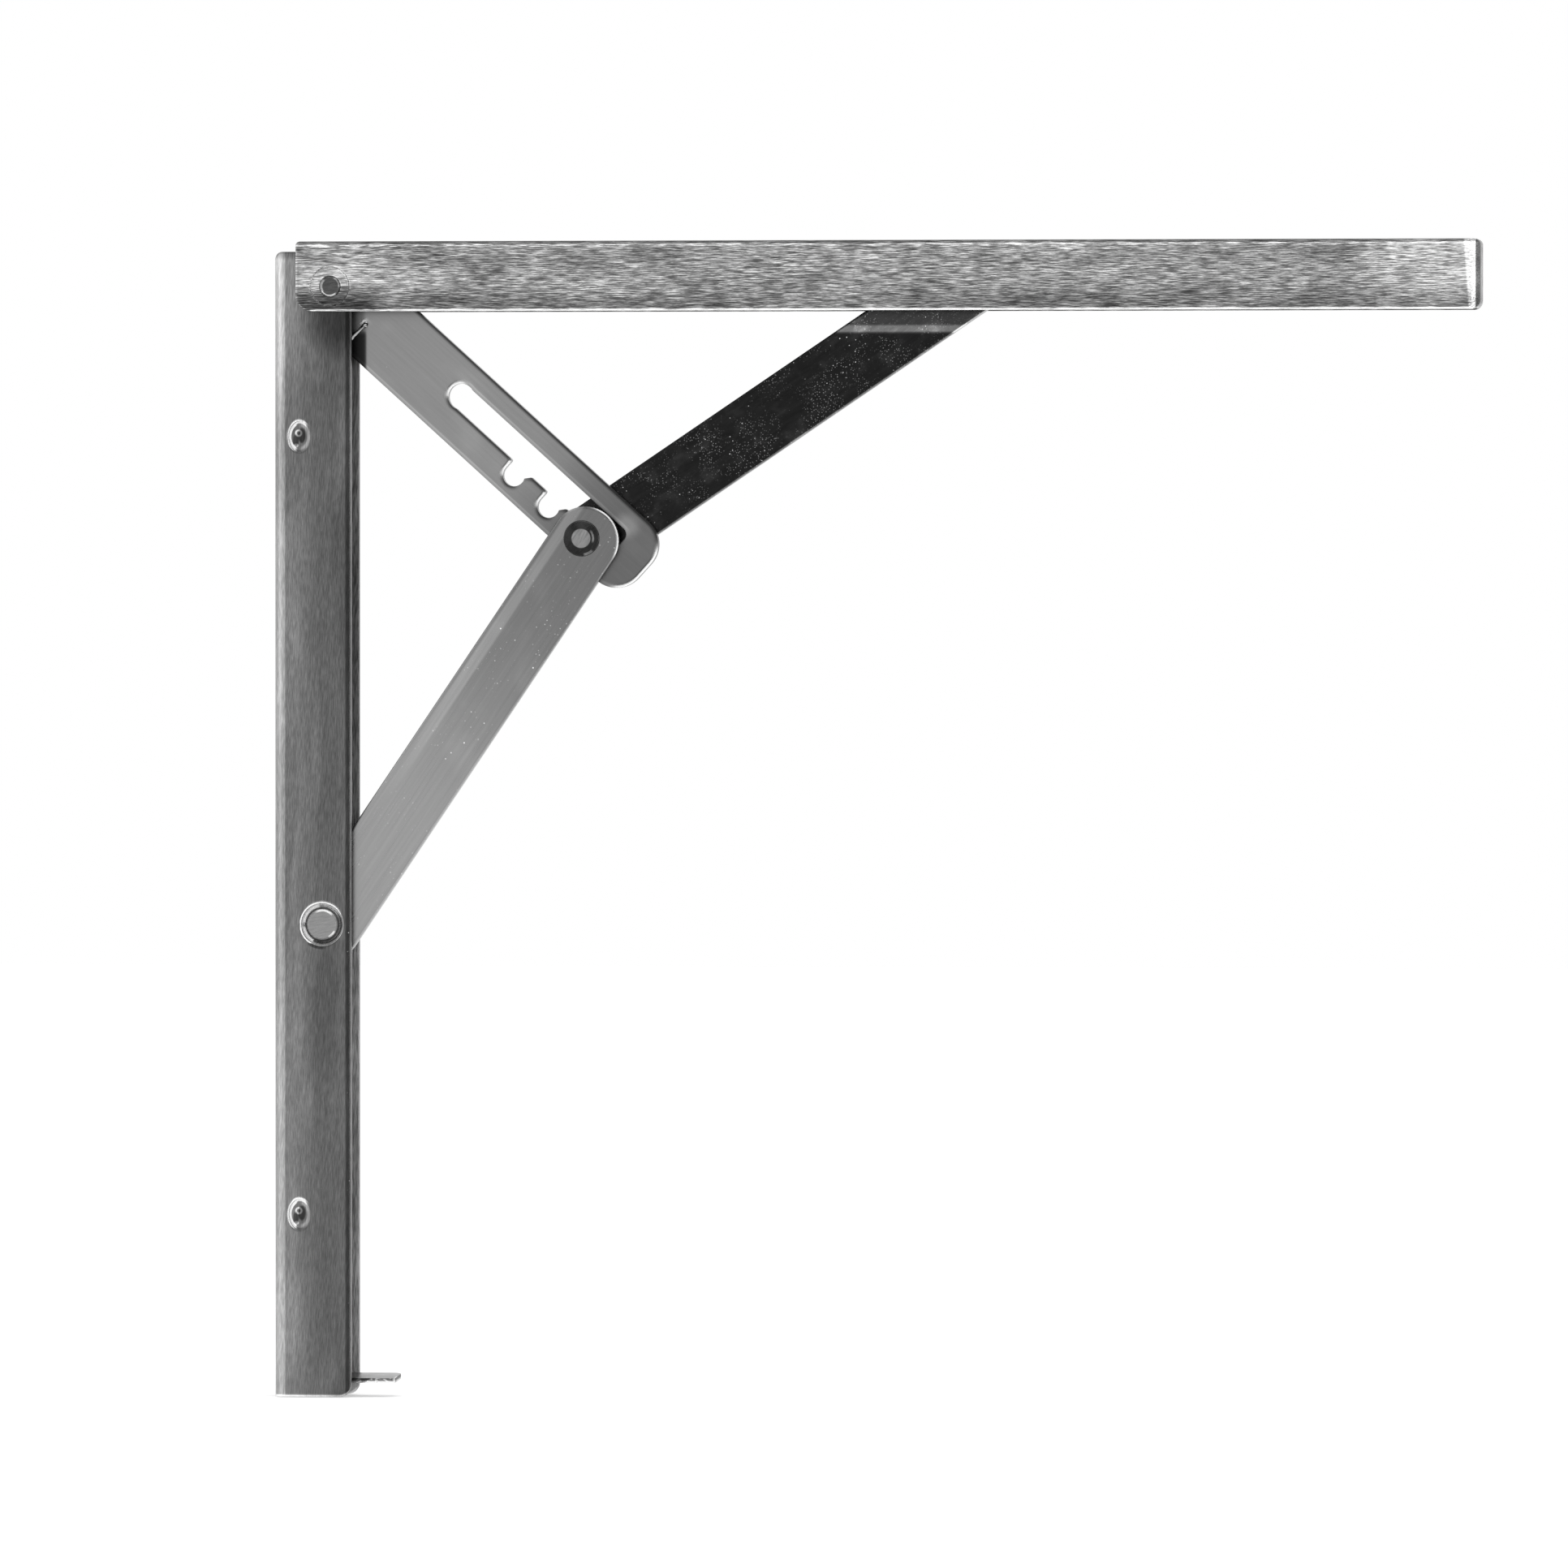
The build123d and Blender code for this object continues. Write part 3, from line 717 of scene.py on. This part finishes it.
# a coil of round wire with straight legs and rounded bends
def springTree(s):
    tree = bpy.data.node_groups.new("torsionCoil", "GeometryNodeTree")
    tree.interface.new_socket(name="Legs", in_out="INPUT", socket_type="NodeSocketGeometry")
    for label, kind in (("Mean Radius", "NodeSocketFloat"), ("Coil Height", "NodeSocketFloat"),
                        ("Turns", "NodeSocketFloat"), ("Wire Radius", "NodeSocketFloat"),
                        ("Start Turn", "NodeSocketFloat"), ("Middle", "NodeSocketVector"),
                        ("Steel", "NodeSocketMaterial")):
        tree.interface.new_socket(name=label, in_out="INPUT", socket_type=kind)
    tree.interface.new_socket(name="Wire", in_out="OUTPUT", socket_type="NodeSocketGeometry")
    given = addNode(tree, "NodeGroupInput").outputs
    coil = addNode(tree, "GeometryNodeCurveSpiral")
    coil.inputs["Resolution"].default_value = s["coilSteps"]
    coil.inputs["Reverse"].default_value = False  # a left-hand coil
    feed(tree, given["Turns"], coil.inputs["Rotations"])
    feed(tree, given["Mean Radius"], coil.inputs["Start Radius"])
    feed(tree, given["Mean Radius"], coil.inputs["End Radius"])
    feed(tree, given["Coil Height"], coil.inputs["Height"])
    turned = addNode(tree, "GeometryNodeTransform")
    feed(tree, coil.outputs[0], turned.inputs["Geometry"])
    spin = addNode(tree, "ShaderNodeCombineXYZ")
    feed(tree, given["Start Turn"], spin.inputs[2])
    feed(tree, spin.outputs[0], turned.inputs["Rotation"])
    laid = addNode(tree, "GeometryNodeTransform")
    feed(tree, turned.outputs[0], laid.inputs["Geometry"])
    laid.inputs["Rotation"].default_value = (math.radians(90), 0, 0)
    feed(tree, given["Middle"], laid.inputs["Translation"])
    legs = addNode(tree, "GeometryNodeMeshToCurve")
    feed(tree, given["Legs"], legs.inputs[0])
    lines = addNode(tree, "GeometryNodeJoinGeometry")
    feed(tree, laid.outputs[0], lines.inputs[0])
    feed(tree, legs.outputs[0], lines.inputs[0])
    profile = addNode(tree, "GeometryNodeCurvePrimitiveCircle")
    profile.inputs["Resolution"].default_value = s["wireSides"]
    feed(tree, given["Wire Radius"], profile.inputs["Radius"])
    tube = addNode(tree, "GeometryNodeCurveToMesh")
    feed(tree, lines.outputs[0], tube.inputs["Curve"])
    feed(tree, profile.outputs[0], tube.inputs["Profile Curve"])
    tube.inputs["Fill Caps"].default_value = True
    ball = addNode(tree, "GeometryNodeMeshUVSphere")
    ball.inputs["Segments"].default_value = s["wireSides"]
    ball.inputs["Rings"].default_value = s["bendRings"]
    feed(tree, given["Wire Radius"], ball.inputs["Radius"])
    bends = addNode(tree, "GeometryNodeInstanceOnPoints")
    feed(tree, given["Legs"], bends.inputs["Points"])
    feed(tree, ball.outputs[0], bends.inputs["Instance"])
    both = addNode(tree, "GeometryNodeJoinGeometry")
    feed(tree, tube.outputs[0], both.inputs[0])
    feed(tree, bends.outputs[0], both.inputs[0])
    smooth = addNode(tree, "GeometryNodeSetShadeSmooth")
    real = addNode(tree, "GeometryNodeRealizeInstances")
    feed(tree, both.outputs[0], real.inputs[0])
    feed(tree, real.outputs[0], smooth.inputs[0])
    painted = addNode(tree, "GeometryNodeSetMaterial")
    feed(tree, smooth.outputs[0], painted.inputs["Geometry"])
    feed(tree, given["Steel"], painted.inputs["Material"])
    feed(tree, painted.outputs[0], addNode(tree, "NodeGroupOutput").inputs[0])
    return tree


def windSpring(s, steel):
    middle = Vector((armPivot[0] * mm, 0.0, armPivot[1] * mm))

    # a point at a reach and an angle; height runs towards the viewer
    def legPoint(reach, degrees, height=0.0):
        angle = math.radians(degrees)
        return tuple(middle + Vector((reach * math.cos(angle), s["firstTurnDepth"] - height,
                                      reach * math.sin(angle))) * mm)

    # each leg leaves the coil square to its radius
    start = s["elbowAngle"] - math.degrees(math.acos(s["meanRadius"] / s["elbowReach"]))
    end = s["tailAngle"] + math.degrees(math.acos(s["meanRadius"] / s["tailReach"]))
    turns = s["wholeTurns"] + (start - end) % 360 / 360
    top = s["pitch"] * turns
    mesh = bpy.data.meshes.new("springLegs")
    mesh.from_pydata([
        legPoint(s["meanRadius"], start),
        legPoint(s["elbowReach"], s["elbowAngle"]),
        legPoint(s["hookReach"], s["hookAngle"]),
        legPoint(s["hookReach"], s["hookAngle"], -s["hookDepth"]),
        legPoint(s["meanRadius"], end, top),
        legPoint(s["tailReach"], s["tailAngle"], top),
    ], [(0, 1), (1, 2), (2, 3), (4, 5)], [])
    legs = bpy.data.objects.new("springLegs", mesh)
    bpy.context.scene.collection.objects.link(legs)
    tree = springTree(s)
    wound = legs.modifiers.new("torsionCoil", "NODES")
    wound.node_group = tree
    sockets = {item.name: item.identifier for item in tree.interface.items_tree}
    given = {"Mean Radius": s["meanRadius"] * mm, "Coil Height": top * mm, "Turns": turns,
             "Wire Radius": s["wire"] / 2 * mm, "Start Turn": math.radians(start),
             "Middle": (middle.x, s["firstTurnDepth"] * mm, middle.z), "Steel": steel}
    for label, value in given.items():
        wound[sockets[label]] = value
    wire = bpy.data.meshes.new_from_object(
        legs.evaluated_get(bpy.context.evaluated_depsgraph_get()))
    bpy.data.objects.remove(legs)
    wire.name = "linkSpring"
    spring = bpy.data.objects.new("linkSpring", wire)
    bpy.context.scene.collection.objects.link(spring)
    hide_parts("link_spring")
    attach(spring, "catch_link")


windSpring(springWire, platedSteel("springSteel", springSteel))
print("the link spring is wound")
